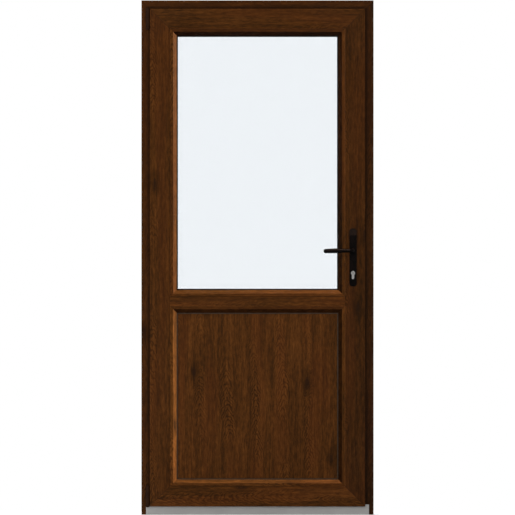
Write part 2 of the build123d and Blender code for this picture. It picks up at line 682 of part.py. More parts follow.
def make_spindle(inner_front: float, outer_front: float) -> Part:
    """Square bar through the leaf that turns both levers together."""
    y = (inner_front - HUB_GAP, outer_front + HUB_GAP)
    half = SPINDLE_SIDE / 2
    return box((HANDLE_X - half, HANDLE_X + half), y, (HANDLE_HEIGHT - half, HANDLE_HEIGHT + half))


def make_cylinder(inner_front: float, outer_front: float) -> dict[str, Part]:
    """Lock cylinder through both plates, with a plug and its keyway at each end."""
    ends = {"inside": inner_front - CYLINDER_PROUD, "outside": outer_front + CYLINDER_PROUD}
    body = through(cylinder_outline(), HANDLE_X, CYLINDER_HEIGHT, (ends["inside"], ends["outside"]))
    parts = {}
    for place, outward in (("inside", -1), ("outside", 1)):
        face = ends[place]
        deep = face - outward * PLUG_DEPTH
        tip = face + outward * PLUG_PROUD
        body -= rod(PLUG_RADIUS + PLUG_PLAY, HANDLE_X, CYLINDER_HEIGHT, (min(face, deep), max(face, deep)))
        plug = rod(PLUG_RADIUS, HANDLE_X, CYLINDER_HEIGHT, (min(tip, deep), max(tip, deep)))
        keyway = box((HANDLE_X - KEYWAY_WIDTH / 2, HANDLE_X + KEYWAY_WIDTH / 2),
                     (min(tip, face - outward * PLUG_DEPTH / 2), max(tip, face - outward * PLUG_DEPTH / 2)),
                     (CYLINDER_HEIGHT - KEYWAY_HEIGHT / 2, CYLINDER_HEIGHT + KEYWAY_HEIGHT / 2))
        parts[f"cylinder_plug_{place}"] = plug - keyway
    parts["lock_cylinder"] = body
    return parts


def make_handle() -> dict[str, Part]:
    """Handle plates and levers on both sides, with the spindle and the lock cylinder between them."""
    inside = make_handle_side(LEAF_FRONT, -1)
    outside = make_handle_side(LEAF_BACK, 1)
    inner_front = LEAF_FRONT - PLATE_THICKNESS
    outer_front = LEAF_BACK + PLATE_THICKNESS
    return {
        "handle_plate_inside": inside["plate"],
        "handle_plate_outside": outside["plate"],
        "lever_inside": inside["lever"],
        "lever_outside": outside["lever"],
        "handle_spindle": make_spindle(inner_front, outer_front),
        **make_cylinder(inner_front, outer_front),
    }


def make_door() -> dict[str, Part]:
    """Every piece of the door, by the name of its node."""
    return {
        **make_threshold(),
        **make_frame(),
        "frame_seal": make_frame_seal(),
        **make_keeps(),
        **make_leaf_frame(),
        "leaf_seal": make_leaf_seal(),
        **make_beads(),
        **make_gaskets(),
        **make_fillings(),
        "drip_rail": make_drip_rail(),
        **make_hinges(),
        **make_lock(),
        **make_handle(),
    }


def main() -> None:
    """Writes one file for each node."""
    os.makedirs("parts", exist_ok=True)
    for name, solid in make_door().items():
        export_step(solid, f"parts/{name}.step")


main()
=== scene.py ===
"""Looks of a half-glazed entrance door: wood-grain foil, glass, black furniture and a metal threshold.

The frame gives every rigid piece in metres: +X to the lock side, +Y outdoors, +Z up. This script dresses
those pieces, adds the small shapes that the solids leave out, and sets a plain studio round them.
"""

import json
import logging
import math
from dataclasses import dataclass, field
from enum import Enum
from typing import Any

import bpy
import numpy as np
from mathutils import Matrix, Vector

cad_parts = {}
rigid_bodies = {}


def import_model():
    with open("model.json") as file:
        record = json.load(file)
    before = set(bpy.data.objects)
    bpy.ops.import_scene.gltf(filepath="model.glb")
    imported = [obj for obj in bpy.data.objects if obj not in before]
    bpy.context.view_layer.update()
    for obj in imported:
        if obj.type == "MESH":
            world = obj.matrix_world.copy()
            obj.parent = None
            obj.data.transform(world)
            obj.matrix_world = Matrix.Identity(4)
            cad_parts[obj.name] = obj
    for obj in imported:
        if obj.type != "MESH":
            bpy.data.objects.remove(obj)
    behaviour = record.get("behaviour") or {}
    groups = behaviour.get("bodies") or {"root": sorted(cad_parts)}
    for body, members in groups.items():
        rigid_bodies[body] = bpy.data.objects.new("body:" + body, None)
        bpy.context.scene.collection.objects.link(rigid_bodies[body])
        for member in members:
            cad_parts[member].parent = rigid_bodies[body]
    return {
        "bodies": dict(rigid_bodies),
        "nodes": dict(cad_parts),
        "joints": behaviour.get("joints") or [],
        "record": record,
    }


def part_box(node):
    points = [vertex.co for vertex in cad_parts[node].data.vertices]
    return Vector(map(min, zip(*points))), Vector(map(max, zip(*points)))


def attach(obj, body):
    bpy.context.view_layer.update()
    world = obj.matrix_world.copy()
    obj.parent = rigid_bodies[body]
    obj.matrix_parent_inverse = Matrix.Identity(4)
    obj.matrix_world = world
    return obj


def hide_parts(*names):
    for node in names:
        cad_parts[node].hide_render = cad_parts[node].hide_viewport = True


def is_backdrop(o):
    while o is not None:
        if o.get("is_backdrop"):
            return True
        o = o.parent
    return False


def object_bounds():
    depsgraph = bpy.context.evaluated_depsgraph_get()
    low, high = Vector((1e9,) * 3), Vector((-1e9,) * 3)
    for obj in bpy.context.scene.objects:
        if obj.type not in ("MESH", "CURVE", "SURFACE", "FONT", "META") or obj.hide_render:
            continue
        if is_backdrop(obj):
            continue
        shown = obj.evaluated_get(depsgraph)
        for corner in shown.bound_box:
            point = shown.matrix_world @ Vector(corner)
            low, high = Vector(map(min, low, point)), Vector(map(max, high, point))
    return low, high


MM = 0.001
WHITE = (1.0, 1.0, 1.0, 1.0)

Colour = tuple[float, float, float]
Point = tuple[float, float, float]
Pair = tuple[float, float]
Array = np.ndarray
Material = bpy.types.Material
Socket = bpy.types.NodeSocket

log = logging.getLogger("entrance_door")


class Grain(Enum):
    """Which way the foil's grain runs on a bar."""

    UPRIGHT = "upright"
    LEVEL = "level"


class Side(Enum):
    """A side of the leaf, named as in the nodes, with the sign of its outward direction along Y."""

    INSIDE = -1
    OUTSIDE = 1


def srgb(red: float, green: float, blue: float) -> Colour:
    """Turns a colour read as 0 to 255 on screen into the linear values that shaders take.

    Args:
        red: Red on screen.
        green: Green on screen.
        blue: Blue on screen.

    Returns:
        The linear colour, by the usual screen curve with its straight foot.
    """
    levels = np.array([red, green, blue]) / 255.0
    linear = np.where(levels <= 0.04045, levels / 12.92, ((levels + 0.055) / 1.055) ** 2.4)
    return tuple(float(level) for level in linear)


class Shader:
    """A material's node tree, with short calls for the nodes that the finishes share."""

    def __init__(self, name: str) -> None:
        """Starts a material with an empty tree, one surface shader and its output.

        Args:
            name: The material's name.
        """
        self.material = bpy.data.materials.new(name)
        self.material.use_nodes = True
        self.tree = self.material.node_tree
        self.tree.nodes.clear()
        self.surface = self.node("ShaderNodeBsdfPrincipled")
        output = self.node("ShaderNodeOutputMaterial")
        self.tree.links.new(self.surface.outputs["BSDF"], output.inputs["Surface"])

    def node(self, kind: str, **settings: Any) -> bpy.types.Node:
        """Adds a node and sets its properties.

        Args:
            kind: The node's type.
            settings: Its properties, by name.

        Returns:
            The node.
        """
        made = self.tree.nodes.new(kind)
        for key, value in settings.items():
            setattr(made, key, value)
        return made

    def feed(self, socket: Socket, value: Any) -> None:
        """Links a socket to another, or sets it to a plain value.

        Args:
            socket: The socket to feed.
            value: Another socket, a number or a tuple of numbers.
        """
        if isinstance(value, Socket):
            self.tree.links.new(value, socket)
        else:
            socket.default_value = value

    def fill(self, made: bpy.types.Node, values: dict[str, Any]) -> None:
        """Feeds a node's sockets by name."""
        for key, value in values.items():
            self.feed(made.inputs[key], value)

    def set(self, **values: Any) -> None:
        """Feeds the surface shader's sockets, by name with underscores for spaces."""
        self.fill(self.surface, {key.replace("_", " "): value for key, value in values.items()})

    def math(self, operation: str, *values: Any) -> Socket:
        """Adds a Math node.

        Args:
            operation: What it does.
            values: Sockets or numbers.

        Returns:
            The result.
        """
        made = self.node("ShaderNodeMath", operation=operation)
        for socket, value in zip(made.inputs, values):
            self.feed(socket, value)
        return made.outputs[0]

    def swing(self, noise: Socket, depth: float, middle: Any) -> Socket:
        """The middle value plus depth times the noise's distance from its own middle, one half."""
        return self.math("MULTIPLY_ADD", self.math("SUBTRACT", noise, 0.5), depth, middle)

    def vector(self, x: Any, y: Any, z: Any) -> Socket:
        """Joins three sockets or numbers into a vector.

        Args:
            x: First part.
            y: Second part.
            z: Third part.

        Returns:
            The vector.
        """
        made = self.node("ShaderNodeCombineXYZ")
        for socket, value in zip(made.inputs, (x, y, z)):
            self.feed(socket, value)
        return made.outputs[0]

    def place(self, offset: Point = (0.0, 0.0, 0.0),
              turn: Point = (0.0, 0.0, 0.0)) -> tuple[Socket, Socket, Socket]:
        """Object coordinates, turned and moved.

        Args:
            offset: Where the pattern's zero goes.
            turn: Turn about each axis, in radians.

        Returns:
            The three coordinates as sockets.
        """
        source = self.node("ShaderNodeTexCoord").outputs["Object"]
        mapping = self.node("ShaderNodeMapping")
        self.fill(mapping, {"Vector": source, "Location": offset, "Rotation": turn})
        parts = self.node("ShaderNodeSeparateXYZ")
        self.feed(parts.inputs[0], mapping.outputs["Vector"])
        return tuple(parts.outputs)

    def noise(self, where: Socket, detail: float, roughness: float = 0.5) -> Socket:
        """Noise of unit scale at a vector that is already stretched.

        Args:
            where: The vector.
            detail: How many finer layers the noise has.
            roughness: How strong the finer layers are.

        Returns:
            The noise, about one half in the middle.
        """
        made = self.node("ShaderNodeTexNoise")
        self.fill(made, {"Vector": where, "Scale": 1.0, "Detail": detail, "Roughness": roughness})
        return made.outputs["Fac"]

    def clouds(self, per_metre: float, detail: float) -> Socket:
        """Noise at one scale on every axis of the object."""
        where = self.vector(*(self.math("MULTIPLY", part, per_metre) for part in self.place()))
        return self.noise(where, detail)

    def between(self, value: Socket, low: float, high: float) -> Socket:
        """A smooth step.

        Args:
            value: What is tested.
            low: Where the step is 0.
            high: Where it is 1.

        Returns:
            The step.
        """
        made = self.node("ShaderNodeMapRange", interpolation_type="SMOOTHSTEP")
        self.fill(made, {"Value": value, "From Min": low, "From Max": high})
        return made.outputs["Result"]

    def ramp(self, value: Socket, *stops: tuple[float, Colour]) -> Socket:
        """A colour ramp.

        Args:
            value: Where on the ramp the colour is read.
            stops: Places on the ramp with their colours.

        Returns:
            The colour.
        """
        made = self.node("ShaderNodeValToRGB")
        elements = made.color_ramp.elements
        while len(elements) < len(stops):
            elements.new(0.5)
        for element, (place, colour) in zip(elements, stops):
            element.position = place
            element.color = (*colour, 1.0)
        self.feed(made.inputs["Fac"], value)
        return made.outputs["Color"]

    def blend(self, share: Socket, first: Any, second: Any) -> Socket:
        """Mixes two colours.

        Args:
            share: How much of the second colour shows.
            first: A socket or a plain colour.
            second: A socket or a plain colour.

        Returns:
            The mixed colour.
        """
        made = self.node("ShaderNodeMix", data_type="RGBA")
        self.feed(made.inputs["Factor"], share)
        colours = [socket for socket in made.inputs if socket.type == "RGBA"]
        for socket, value in zip(colours, (first, second)):
            self.feed(socket, value if isinstance(value, Socket) else (*value, 1.0))
        return next(socket for socket in made.outputs if socket.type == "RGBA")

    def bump(self, height: Socket, strength: float, distance: float) -> None:
        """Lets a height push the surface's normal.

        Args:
            height: The height.
            strength: How much of it shows.
            distance: How far a height of one stands out.
        """
        made = self.node("ShaderNodeBump")
        self.fill(made, {"Height": height, "Strength": strength, "Distance": distance})
        self.set(Normal=made.outputs["Normal"])


@dataclass(frozen=True)
class JointShade:
    """Painted shade on a frame bar's indoor face beside the leaf, where the proud leaf shades the frame.

    The axis crosses the joint, and the edge is where the leaf ends on it. The painted shade fades out over
    the reach.
    """

    axis: int
    edge: float
    reach: float = 22.0 * MM
    under: float = 5.0 * MM
    face_depth: float = 20.0 * MM
    strength: float = 0.62

    def share(self, shader: Shader) -> Socket:
        """How much painted shade the bar gets: full just under the leaf's edge, none past the reach or
        outdoors.

        Args:
            shader: The tree that the nodes go into.

        Returns:
            The share of painted shade.
        """
        parts = shader.place()
        # Painted shade: darker towards the leaf's edge, as if the leaf shaded the frame.
        away = shader.math("ABSOLUTE", parts[self.axis])
        near = shader.between(away, self.edge + self.reach, self.edge - self.under)
        indoors = shader.between(parts[1], 0.0, -self.face_depth)
        return shader.math("MULTIPLY", shader.math("MULTIPLY", near, indoors), self.strength)


@dataclass(frozen=True)
class WoodFoil:
    """Printed and embossed wood foil: bands, streaks, arched figure, knots and pores along the grain.

    Each pair named per_metre says how often a pattern repeats in a metre, across the grain and along it.
    Each pair named edges says where a smooth step starts and ends.
    """

    dark: Colour = srgb(44, 24, 5)
    middle: Colour = srgb(70, 39, 11)
    light: Colour = srgb(97, 56, 21)
    ruddy: Colour = srgb(86, 42, 15)
    knot: Colour = srgb(30, 16, 8)
    # The colour of the painted shade on frame bars beside the leaf.
    joint_shade_colour: Colour = srgb(20, 10, 4)
    dark_at: float = 0.1
    middle_at: float = 0.5
    light_at: float = 0.92
    mean_shade: float = 0.53

    sway_per_metre: Pair = (7.0, 2.4)
    flutter_per_metre: Pair = (70.0, 40.0)
    band_per_metre: Pair = (24.0, 1.5)
    band_edges: Pair = (0.36, 0.64)
    band_depth: float = 0.2
    flame_per_metre: Pair = (70.0, 5.0)
    flame_depth: float = 0.7
    streak_per_metre: Pair = (150.0, 7.0)
    streak_depth: float = 0.75
    speck_per_metre: Pair = (115.0, 34.0)
    speck_depth: float = 1.2
    pore_per_metre: Pair = (900.0, 28.0)
    pore_edges: Pair = (0.56, 0.72)
    pore_depth: float = 0.42
    blush_per_metre: Pair = (13.0, 1.4)
    blush_edges: Pair = (0.45, 0.65)
    blush_share: float = 0.22

    figure_width: float = 0.115
    figure_pitch: float = 0.026
    figure_depth: float = 0.44
    knot_per_metre: Pair = (6.5, 2.6)
    knot_choice: Pair = (0.58, 0.6)
    knot_reach: float = 0.22
    knot_core: Pair = (0.12, 0.05)
    knot_ring: float = 0.026
    knot_depth: float = 0.34

    roughness: float = 0.5
    rough_swing: float = 0.25
    gloss: float = 0.05
    groove_edges: Pair = (0.5, 0.7)
    streak_relief: float = 0.6
    emboss: float = 0.4
    emboss_height: float = 0.25 * MM

    def make(self, name: str, grain: Grain, number: int, painted_shading_share: float = 1.0,
             joint: JointShade | None = None) -> Material:
        """Makes the foil for one bar.

        Args:
            name: The material's name.
            grain: Which way the grain runs.
            number: The bar's number, which moves the pattern so that no two bars match.
            painted_shading_share: The bar's painted light and shade, as a share of the usual colours.
            joint: The painted shade on the bar beside the leaf, if it has one.

        Returns:
            The material.
        """
        shader = Shader(name)
        where = self.along_grain(shader, grain, number)
        sway = self.layer(shader, where, self.sway_per_metre, detail=2.0)
        flutter = self.layer(shader, where, self.flutter_per_metre, detail=2.0)
        bands = shader.between(self.layer(shader, where, self.band_per_metre, detail=3.0), *self.band_edges)
        flames = self.layer(shader, where, self.flame_per_metre, detail=3.0, roughness=0.6)
        streaks = self.layer(shader, where, self.streak_per_metre, detail=3.0, roughness=0.6)
        specks = self.layer(shader, where, self.speck_per_metre, detail=3.0, roughness=0.7)
        pores = self.layer(shader, where, self.pore_per_metre, detail=1.0)
        blush = self.layer(shader, where, self.blush_per_metre, detail=1.0)
        knots, knot_nearness = self.knots(shader, where, flutter)
        figure = self.figure(shader, where, (sway, flutter), knot_nearness)

        shade = self.mean_shade
        for pattern, depth in ((bands, self.band_depth), (flames, self.flame_depth),
                               (streaks, self.streak_depth), (specks, self.speck_depth)):
            shade = shader.swing(pattern, depth, shade)
        for mark, depth in ((figure, self.figure_depth), (knot_nearness, self.knot_depth),
                            (shader.between(pores, *self.pore_edges), self.pore_depth)):
            shade = shader.math("MULTIPLY_ADD", mark, -depth, shade)
        stops = ((self.dark_at, self.dark), (self.middle_at, self.middle), (self.light_at, self.light))
        # Painted light and shade: the bar's share scales the ramp's colours and the ruddy blush.
        wood = shader.ramp(shade, *((place, self.toned(colour, painted_shading_share)) for place, colour in stops))
        blushing = shader.math("MULTIPLY", shader.between(blush, *self.blush_edges), self.blush_share)
        wood = shader.blend(blushing, wood, self.toned(self.ruddy, painted_shading_share))
        wood = shader.blend(knots, wood, self.knot)
        # Painted shade on frame bars beside the leaf, where the leaf stands proud of them.
        if joint:
            wood = shader.blend(joint.share(shader), wood, self.joint_shade_colour)
        shader.set(Base_Color=wood, Specular_IOR_Level=self.gloss,
                   Roughness=shader.swing(streaks, self.rough_swing, self.roughness))
        relief = shader.math("MULTIPLY_ADD", shader.between(pores, *self.groove_edges), -1.0,
                             shader.math("MULTIPLY", streaks, self.streak_relief))
        shader.bump(relief, self.emboss, self.emboss_height)
        return shader.material

    @staticmethod
    def toned(colour: Colour, painted_shading_share: float) -> Colour:
        """A colour made lighter or darker by a share."""
        return tuple(painted_shading_share * part for part in colour)

    @staticmethod
    def along_grain(shader: Shader, grain: Grain, number: int) -> tuple[Socket, Socket, Socket]:
        """Places on a bar, laid along its grain.

        Args:
            shader: The tree that the nodes go into.
            grain: Which way the grain runs.
            number: The bar's number.

        Returns:
            Distances round the bar, into it and along its grain.
        """
        golden, silver = 0.618034, 0.414214
        across_span, along_span, lean = 3.0, 5.0, 0.7
        offset = (number * golden % 1.0 * across_span, 0.0, number * silver % 1.0 * along_span)
        turn = (0.0, math.pi / 2, 0.0) if grain is Grain.LEVEL else (0.0, 0.0, 0.0)
        across, depth, along = shader.place(offset, turn)
        girth = shader.math("ADD", across, shader.math("MULTIPLY", depth, lean))
        return girth, depth, along

    @staticmethod
    def layer(shader: Shader, where: tuple[Socket, Socket, Socket], per_metre: Pair, detail: float,
              roughness: float = 0.5) -> Socket:
        """Noise that is stretched along the grain.

        Args:
            shader: The tree that the nodes go into.
            where: Distances round the bar, into it and along its grain.
            per_metre: How often the noise repeats in a metre, across the grain and along it.
            detail: How many finer layers the noise has.
            roughness: How strong the finer layers are.

        Returns:
            The noise.
        """
        girth, depth, along = where
        across_per_metre, along_per_metre = per_metre
        depth_share = 0.3
        stretched = shader.vector(shader.math("MULTIPLY", girth, across_per_metre),
                                  shader.math("MULTIPLY", depth, across_per_metre * depth_share),
                                  shader.math("MULTIPLY", along, along_per_metre))
        return shader.noise(stretched, detail, roughness)

    def figure(self, shader: Shader, where: tuple[Socket, Socket, Socket], bends: tuple[Socket, Socket],
               knot_nearness: Socket) -> Socket:
        """Nested arches in strips along the grain.

        The figure is a wave along the grain whose phase grows with the distance from the middle of its
        strip, so its crests are nested arches. It shows only in patches of some strips, on faces that look
        indoors or outdoors.

        Args:
            shader: The tree that the nodes go into.
            where: Distances round the bar, into it and along its grain.
            bends: Slow noise that bends the strips, and quick noise that ruffles the arches.
            knot_nearness: How near a knot is, which pushes the arches apart.

        Returns:
            0 where there is no figure, above 0 on its dark crests and below 0 between them.
        """
        strip_sway, arch_power, arch_height = 0.8, 1.3, 17.0
        sway_shift, flutter_shift, knot_shift = 9.0, 2.2, 4.0
        crest_edges, crest_middle = (-0.2, 1.0), 0.35
        heart_edges, patch_edges, flat_edges = (0.27, 0.12), (0.4, 0.6), (0.5, 0.9)
        strip_apart, patch_per_metre = 7.31, 2.6

        girth, _, along = where
        sway, flutter = bends
        strip = shader.math("ADD", shader.math("DIVIDE", girth, self.figure_width),
                            shader.math("MULTIPLY", sway, strip_sway))
        number = shader.math("FLOOR", strip)
        local = shader.math("ABSOLUTE", shader.math("SUBTRACT", shader.math("FRACT", strip), 0.5))
        arch = shader.math("POWER", local, arch_power)
        phase = shader.math("DIVIDE", along, self.figure_pitch)
        for push, amount in ((arch, arch_height), (sway, sway_shift), (flutter, flutter_shift),
                             (knot_nearness, knot_shift)):
            phase = shader.math("MULTIPLY_ADD", push, amount, phase)
        wave = shader.math("SINE", shader.math("MULTIPLY", phase, 2 * math.pi))
        crest = shader.math("SUBTRACT", shader.between(wave, *crest_edges), crest_middle)
        heart = shader.between(local, *heart_edges)
        patch_at = shader.vector(shader.math("MULTIPLY", number, strip_apart), 0.0,
                                 shader.math("MULTIPLY", along, patch_per_metre))
        patch = shader.between(shader.noise(patch_at, detail=2.0), *patch_edges)
        normal = shader.node("ShaderNodeSeparateXYZ")
        shader.feed(normal.inputs[0], shader.node("ShaderNodeTexCoord").outputs["Normal"])
        flat_on = shader.between(shader.math("ABSOLUTE", normal.outputs[1]), *flat_edges)
        shown = shader.math("MULTIPLY", shader.math("MULTIPLY", heart, patch), flat_on)
        return shader.math("MULTIPLY", crest, shown)

    def knots(self, shader: Shader, where: tuple[Socket, Socket, Socket],
              flutter: Socket) -> tuple[Socket, Socket]:
        """Scattered oval knots with rings: at most one in each cell of a loose grid.

        Args:
            shader: The tree that the nodes go into.
            where: Distances round the bar, into it and along its grain.
            flutter: Quick noise that makes the knots' edges ragged.

        Returns:
            How much of a knot's colour shows, and how near a knot is.
        """
        raggedness, ring_depth, mean_cut = 0.06, 0.3, 0.5
        girth, _, along = where
        across_per_metre, along_per_metre = self.knot_per_metre
        spread = shader.vector(shader.math("MULTIPLY", girth, across_per_metre),
                               shader.math("MULTIPLY", along, along_per_metre), 0.0)
        cells = shader.node("ShaderNodeTexVoronoi", voronoi_dimensions="2D")
        shader.fill(cells, {"Vector": spread, "Scale": 1.0})
        distance = cells.outputs["Distance"]
        chance = shader.node("ShaderNodeSeparateColor")
        shader.feed(chance.inputs[0], cells.outputs["Color"])
        kept = shader.between(chance.outputs[0], *self.knot_choice)
        nearness = shader.math("MULTIPLY", shader.between(distance, self.knot_reach, 0.0), kept)
        ragged = shader.math("MULTIPLY_ADD", flutter, raggedness, distance)
        rings = shader.math("SINE", shader.math("MULTIPLY", ragged, 2 * math.pi / self.knot_ring))
        cut = shader.math("MULTIPLY_ADD", rings, ring_depth, mean_cut)
        core = shader.math("MULTIPLY", shader.between(ragged, *self.knot_core), kept)
        return shader.math("MULTIPLY", core, cut), nearness


@dataclass(frozen=True)
class SatinCoating:
    """Stove paint or powder coat with a fine orange-peel surface."""

    colour: Colour
    rub: Colour
    roughness: float = 0.38
    gloss: float = 0.06
    cloud_per_metre: float = 45.0
    cloud_edges: Pair = (0.35, 0.75)
    rough_swing: float = 0.16
    peel_per_metre: float = 1900.0
    peel_strength: float = 0.12
    peel_height: float = 0.1 * MM

    def make(self, name: str) -> Material:
        """Makes the coating: two close tones in soft clouds, and a fine bump.

        Args:
            name: The material's name.

        Returns:
            The material.
        """
        shader = Shader(name)
        clouds = shader.clouds(self.cloud_per_metre, detail=3.0)
        rubbed = shader.between(clouds, *self.cloud_edges)
        shader.set(Base_Color=shader.blend(rubbed, self.colour, self.rub), Specular_IOR_Level=self.gloss,
                   Roughness=shader.swing(clouds, self.rough_swing, self.roughness))
        peel = shader.clouds(self.peel_per_metre, detail=1.0)
        shader.bump(peel, self.peel_strength, self.peel_height)
        return shader.material


@dataclass(frozen=True)
class DrawnMetal:
    """Metal with fine lines along one axis, from an extrusion die or a brush."""

    colour: Colour
    shade: Colour
    lines_per_metre: Point
    roughness: float = 0.36
    metallic: float = 0.6
    line_share: float = 0.6
    cloud_per_metre: float = 14.0
    cloud_share: float = 0.5
    shade_edges: Pair = (0.3, 0.8)
    rough_swing: float = 0.22
    line_strength: float = 0.12
    line_height: float = 0.1 * MM

    def make(self, name: str) -> Material:
        """Makes the metal: noise that is long along the draw, in colour, roughness and bump.

        Args:
            name: The material's name.

        Returns:
            The material.
        """
        shader = Shader(name)
        drawn = (shader.math("MULTIPLY", part, often)
                 for part, often in zip(shader.place(), self.lines_per_metre))
        lines = shader.noise(shader.vector(*drawn), detail=3.0, roughness=0.6)
        clouds = shader.clouds(self.cloud_per_metre, detail=2.0)
        mixed = shader.math("MULTIPLY_ADD", clouds, self.cloud_share,
                            shader.math("MULTIPLY", lines, self.line_share))
        shaded = shader.between(mixed, *self.shade_edges)
        shader.set(Base_Color=shader.blend(shaded, self.colour, self.shade), Metallic=self.metallic,
                   Roughness=shader.swing(lines, self.rough_swing, self.roughness))
        shader.bump(lines, self.line_strength, self.line_height)
        return shader.material


@dataclass(frozen=True)
class SealRubber:
    """Matt extruded rubber, a little dusty."""

    colour: Colour
    dust: Colour
    roughness: float = 0.6
    rough_rise: float = 0.15
    gloss: float = 0.05
    cloud_per_metre: float = 60.0
    cloud_edges: Pair = (0.4, 0.8)
    skin_per_metre: float = 1400.0
    skin_strength: float = 0.15
    skin_height: float = 0.1 * MM

    def make(self, name: str) -> Material:
        """Makes the rubber: two tones in soft clouds, with a fine bump.

        Args:
            name: The material's name.

        Returns:
            The material.
        """
        shader = Shader(name)
        clouds = shader.clouds(self.cloud_per_metre, detail=3.0)
        dusty = shader.between(clouds, *self.cloud_edges)
        shader.set(Base_Color=shader.blend(dusty, self.colour, self.dust), Specular_IOR_Level=self.gloss,
                   Roughness=shader.math("MULTIPLY_ADD", clouds, self.rough_rise, self.roughness))
        skin = shader.clouds(self.skin_per_metre, detail=1.0)
        shader.bump(skin, self.skin_strength, self.skin_height)
        return shader.material


@dataclass(frozen=True)
class ClearGlass:
    """Float glass: clear, with the slightest tint and a very faint ripple."""

    tint: Colour = (0.866, 0.885, 0.901)
    bending: float = 1.45
    ripple_per_metre: float = 5.0
    ripple_strength: float = 0.01
    ripple_height: float = 0.2 * MM

    def make(self, name: str) -> Material:
        """Makes the glass.

        Args:
            name: The material's name.

        Returns:
            The material.
        """
        shader = Shader(name)
        shader.set(Base_Color=(*self.tint, 1.0), Roughness=0.0, IOR=self.bending, Transmission_Weight=1.0)
        ripple = shader.clouds(self.ripple_per_metre, detail=1.0)
        shader.bump(ripple, self.ripple_strength, self.ripple_height)
        return shader.material


def closed_mesh(name: str, *grids: Array, smooth: bool = True) -> bpy.types.Object:
    """Turns grids of points into one mesh of closed tube-like shapes.

    Rows run along a tube and columns run round it, so the last column joins the first. Each end is closed
    by a fan to the middle of its row.

    Args:
        name: The piece's name.
        grids: Points of each shape, rows by columns by three.
        smooth: Whether the faces are shaded smooth.

    Returns:
        The new object, at the origin.
    """
    points: list[Array] = []
    faces: list[list[int]] = []
    base = 0
    for grid in grids:
        rows, columns = grid.shape[:2]
        index = base + np.arange(rows * columns).reshape(rows, columns)
        here, there = index[:-1], index[1:]
        quads = np.stack([here, np.roll(here, -1, 1), np.roll(there, -1, 1), there], axis=-1)
        start, finish = base + rows * columns, base + rows * columns + 1
        first, last = index[0], index[-1]
        fan_start = np.stack([np.roll(first, -1), first, np.full(columns, start)], axis=-1)
        fan_finish = np.stack([last, np.roll(last, -1), np.full(columns, finish)], axis=-1)
        faces += quads.reshape(-1, 4).tolist() + fan_start.tolist() + fan_finish.tolist()
        points += [grid.reshape(-1, 3), grid[0].mean(0)[None], grid[-1].mean(0)[None]]
        base += rows * columns + 2
    mesh = bpy.data.meshes.new(name)
    mesh.from_pydata(np.vstack(points).tolist(), [], faces)
    mesh.polygons.foreach_set("use_smooth", np.full(len(mesh.polygons), smooth))
    mesh.update()
    piece = bpy.data.objects.new(name, mesh)
    bpy.context.scene.collection.objects.link(piece)
    return piece


def turned(profile: Array, centre: Array, axis: Array, spokes: int = 40) -> Array:
    """A profile turned round an axis.

    Point (s, t) is centre + axis * height(s) + radius(s) * (first * cos t + second * sin t).

    Args:
        profile: Radius and height of each ring.
        centre: A point on the axis.
        axis: The axis as a unit vector.
        spokes: Points in each ring.

    Returns:
        The grid of points, rings by spokes by three.
    """
    nearly_upright = 0.9
    helper = np.array([0.0, 0.0, 1.0]) if abs(axis[2]) < nearly_upright else np.array([1.0, 0.0, 0.0])
    first = np.cross(helper, axis)
    first /= np.linalg.norm(first)
    second = np.cross(axis, first)
    angle = np.linspace(0, 2 * np.pi, spokes, endpoint=False)
    outward = np.cos(angle)[:, None] * first + np.sin(angle)[:, None] * second
    radius, height = profile[:, 0], profile[:, 1]
    return centre + height[:, None, None] * axis + radius[:, None, None] * outward[None]


def ridge(start: Array, finish: Array, normal: Array, half_width: float, half_height: float,
          spokes: int = 16) -> Array:
    """A low ridge along a line on a flat face.

    Point (s, t) is start + (finish - start) * s + normal * half_height * cos t + side * half_width * sin t,
    with side square to the line and the normal, so half of the oval lies under the face.

    Args:
        start: Where the line starts.
        finish: Where it ends.
        normal: The face's outward direction.
        half_width: Half of the ridge's width.
        half_height: How far it stands out.
        spokes: Points in each oval.

    Returns:
        The grid of points, two rows of an oval.
    """
    way = (finish - start) / np.linalg.norm(finish - start)
    side = np.cross(way, normal)
    turn = np.linspace(0, 2 * np.pi, spokes, endpoint=False)[:, None]
    oval = normal * half_height * np.cos(turn) + side * half_width * np.sin(turn)
    return np.stack([start, finish])[:, None] + oval[None]


def screw_head(place: Array, axis: Array, radius: float = 4.0 * MM, spokes: int = 48) -> Array:
    """A countersunk screw head with a cross recess.

    The head is a flat dome turned round the axis: height = crown * (1 - (r / radius) ** 2). Inside a cross
    with arms of a fixed half width the height is lowered by the recess.

    Args:
        place: The middle of the head, on the face it is sunk into.
        axis: Its outward direction.
        radius: The head's radius.
        spokes: Points in each ring.

    Returns:
        The grid of points, rings by spokes by three.
    """
    crown, root, recess = 0.7 * MM, 0.4 * MM, 1.3 * MM
    arm_half_width, arm_length = 0.16 * radius, 0.62 * radius
    ring_count, innermost = 18, 0.04
    rings = np.linspace(1.0, innermost, ring_count) * radius
    profile = np.stack([rings, crown * (1 - (rings / radius) ** 2)], -1)
    grid = turned(np.vstack([[radius, -root], profile]), place, axis, spokes)
    angle = np.linspace(0, 2 * np.pi, spokes, endpoint=False)
    across, along = np.abs(rings[:, None] * np.cos(angle)), np.abs(rings[:, None] * np.sin(angle))
    cross = (np.minimum(across, along) < arm_half_width) & (np.maximum(across, along) < arm_length)
    grid[1:] -= recess * cross[:, :, None] * axis
    return grid


def corners(node: str) -> tuple[Array, Array]:
    """A frame node's lowest and highest corners."""
    low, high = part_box(node)
    return np.array(low), np.array(high)


def middle_of(node: str) -> Array:
    """The middle of a frame node's box."""
    low, high = corners(node)
    return (low + high) / 2


